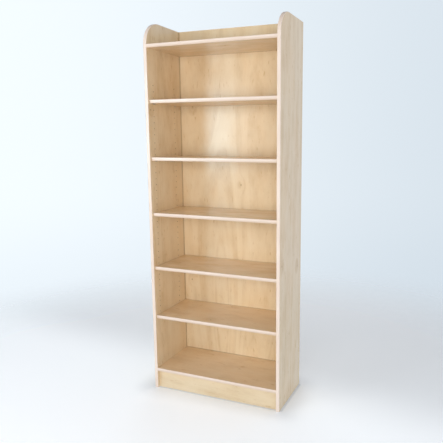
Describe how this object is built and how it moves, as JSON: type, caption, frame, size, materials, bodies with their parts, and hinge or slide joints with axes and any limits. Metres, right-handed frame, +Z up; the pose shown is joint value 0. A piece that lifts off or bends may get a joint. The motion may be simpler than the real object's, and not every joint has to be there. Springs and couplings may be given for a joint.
{
  "type": "bookcase with adjustable shelves",
  "caption": "Tall open bookcase in pale wood with rounded top front corners, a recessed plinth and shelves on pins in rows of holes.",
  "frame": {"origin": "on the floor, in the middle of the footprint", "axes": "+Z up, along the height; the open front faces -Y; +X along the width, to the right seen from the front"},
  "size_m": [0.752, 0.344, 2],
  "materials": {
    "side_board": "satin maple melamine, grain upright",
    "shelf_board": "satin maple melamine, grain along the length",
    "back_board": "satin maple melamine, grain upright",
    "plinth_board": "satin maple melamine, grain along the length",
    "edge_band": "smooth satin ABS band, pale beech tint",
    "pin_steel": "turned steel, nickel plated",
    "bright_steel": "zinc-plated steel",
    "zinc": "die-cast zinc, matt",
    "beech_dowel": "turned beech, unfinished"
  },
  "bodies": {
    "case": {"side_left": "side_board", "side_right": "side_board", "side_band_left": "edge_band", "side_band_right": "edge_band", "back_panel": "back_board", "top_shelf": "shelf_board", "top_shelf_band": "edge_band", "bottom_shelf": "shelf_board", "bottom_shelf_band": "edge_band", "plinth": "plinth_board", "cam_locks_top": "zinc", "cam_locks_bottom": "zinc", "cam_bolts_top": "bright_steel", "cam_bolts_bottom": "bright_steel", "dowels_top": "beech_dowel", "dowels_bottom": "beech_dowel", "plinth_dowels": "beech_dowel", "back_screws": "bright_steel"},
    "shelf_1": {"shelf_1": "shelf_board", "shelf_band_1": "edge_band"},
    "shelf_2": {"shelf_2": "shelf_board", "shelf_band_2": "edge_band"},
    "shelf_3": {"shelf_3": "shelf_board", "shelf_band_3": "edge_band"},
    "shelf_4": {"shelf_4": "shelf_board", "shelf_band_4": "edge_band"},
    "shelf_5": {"shelf_5": "shelf_board", "shelf_band_5": "edge_band"},
    "shelf_pin_1_front_left": {"shelf_pin_1_front_left": "pin_steel"},
    "shelf_pin_1_front_right": {"shelf_pin_1_front_right": "pin_steel"},
    "shelf_pin_1_rear_left": {"shelf_pin_1_rear_left": "pin_steel"},
    "shelf_pin_1_rear_right": {"shelf_pin_1_rear_right": "pin_steel"},
    "shelf_pin_2_front_left": {"shelf_pin_2_front_left": "pin_steel"},
    "shelf_pin_2_front_right": {"shelf_pin_2_front_right": "pin_steel"},
    "shelf_pin_2_rear_left": {"shelf_pin_2_rear_left": "pin_steel"},
    "shelf_pin_2_rear_right": {"shelf_pin_2_rear_right": "pin_steel"},
    "shelf_pin_3_front_left": {"shelf_pin_3_front_left": "pin_steel"},
    "shelf_pin_3_front_right": {"shelf_pin_3_front_right": "pin_steel"},
    "shelf_pin_3_rear_left": {"shelf_pin_3_rear_left": "pin_steel"},
    "shelf_pin_3_rear_right": {"shelf_pin_3_rear_right": "pin_steel"},
    "shelf_pin_4_front_left": {"shelf_pin_4_front_left": "pin_steel"},
    "shelf_pin_4_front_right": {"shelf_pin_4_front_right": "pin_steel"},
    "shelf_pin_4_rear_left": {"shelf_pin_4_rear_left": "pin_steel"},
    "shelf_pin_4_rear_right": {"shelf_pin_4_rear_right": "pin_steel"},
    "shelf_pin_5_front_left": {"shelf_pin_5_front_left": "pin_steel"},
    "shelf_pin_5_front_right": {"shelf_pin_5_front_right": "pin_steel"},
    "shelf_pin_5_rear_left": {"shelf_pin_5_rear_left": "pin_steel"},
    "shelf_pin_5_rear_right": {"shelf_pin_5_rear_right": "pin_steel"}
  },
  "joints": [
    {"name": "shelf_1_slide", "type": "slide", "parent": "case", "child": "shelf_1", "axis": [0, -1, 0], "range_m": [0, 0.335]},
    {"name": "shelf_2_slide", "type": "slide", "parent": "case", "child": "shelf_2", "axis": [0, -1, 0], "range_m": [0, 0.335]},
    {"name": "shelf_3_slide", "type": "slide", "parent": "case", "child": "shelf_3", "axis": [0, -1, 0], "range_m": [0, 0.335]},
    {"name": "shelf_4_slide", "type": "slide", "parent": "case", "child": "shelf_4", "axis": [0, -1, 0], "range_m": [0, 0.335]},
    {"name": "shelf_5_slide", "type": "slide", "parent": "case", "child": "shelf_5", "axis": [0, -1, 0], "range_m": [0, 0.335]},
    {"name": "shelf_pin_1_front_left_pull", "type": "slide", "parent": "case", "child": "shelf_pin_1_front_left", "axis": [1, 0, 0], "range_m": [0, 0.011]},
    {"name": "shelf_pin_1_front_right_pull", "type": "slide", "parent": "case", "child": "shelf_pin_1_front_right", "axis": [-1, 0, 0], "range_m": [0, 0.011]},
    {"name": "shelf_pin_1_rear_left_pull", "type": "slide", "parent": "case", "child": "shelf_pin_1_rear_left", "axis": [1, 0, 0], "range_m": [0, 0.011]},
    {"name": "shelf_pin_1_rear_right_pull", "type": "slide", "parent": "case", "child": "shelf_pin_1_rear_right", "axis": [-1, 0, 0], "range_m": [0, 0.011]},
    {"name": "shelf_pin_2_front_left_pull", "type": "slide", "parent": "case", "child": "shelf_pin_2_front_left", "axis": [1, 0, 0], "range_m": [0, 0.011]},
    {"name": "shelf_pin_2_front_right_pull", "type": "slide", "parent": "case", "child": "shelf_pin_2_front_right", "axis": [-1, 0, 0], "range_m": [0, 0.011]},
    {"name": "shelf_pin_2_rear_left_pull", "type": "slide", "parent": "case", "child": "shelf_pin_2_rear_left", "axis": [1, 0, 0], "range_m": [0, 0.011]},
    {"name": "shelf_pin_2_rear_right_pull", "type": "slide", "parent": "case", "child": "shelf_pin_2_rear_right", "axis": [-1, 0, 0], "range_m": [0, 0.011]},
    {"name": "shelf_pin_3_front_left_pull", "type": "slide", "parent": "case", "child": "shelf_pin_3_front_left", "axis": [1, 0, 0], "range_m": [0, 0.011]},
    {"name": "shelf_pin_3_front_right_pull", "type": "slide", "parent": "case", "child": "shelf_pin_3_front_right", "axis": [-1, 0, 0], "range_m": [0, 0.011]},
    {"name": "shelf_pin_3_rear_left_pull", "type": "slide", "parent": "case", "child": "shelf_pin_3_rear_left", "axis": [1, 0, 0], "range_m": [0, 0.011]},
    {"name": "shelf_pin_3_rear_right_pull", "type": "slide", "parent": "case", "child": "shelf_pin_3_rear_right", "axis": [-1, 0, 0], "range_m": [0, 0.011]},
    {"name": "shelf_pin_4_front_left_pull", "type": "slide", "parent": "case", "child": "shelf_pin_4_front_left", "axis": [1, 0, 0], "range_m": [0, 0.011]},
    {"name": "shelf_pin_4_front_right_pull", "type": "slide", "parent": "case", "child": "shelf_pin_4_front_right", "axis": [-1, 0, 0], "range_m": [0, 0.011]},
    {"name": "shelf_pin_4_rear_left_pull", "type": "slide", "parent": "case", "child": "shelf_pin_4_rear_left", "axis": [1, 0, 0], "range_m": [0, 0.011]},
    {"name": "shelf_pin_4_rear_right_pull", "type": "slide", "parent": "case", "child": "shelf_pin_4_rear_right", "axis": [-1, 0, 0], "range_m": [0, 0.011]},
    {"name": "shelf_pin_5_front_left_pull", "type": "slide", "parent": "case", "child": "shelf_pin_5_front_left", "axis": [1, 0, 0], "range_m": [0, 0.011]},
    {"name": "shelf_pin_5_front_right_pull", "type": "slide", "parent": "case", "child": "shelf_pin_5_front_right", "axis": [-1, 0, 0], "range_m": [0, 0.011]},
    {"name": "shelf_pin_5_rear_left_pull", "type": "slide", "parent": "case", "child": "shelf_pin_5_rear_left", "axis": [1, 0, 0], "range_m": [0, 0.011]},
    {"name": "shelf_pin_5_rear_right_pull", "type": "slide", "parent": "case", "child": "shelf_pin_5_rear_right", "axis": [-1, 0, 0], "range_m": [0, 0.011]}
  ]
}
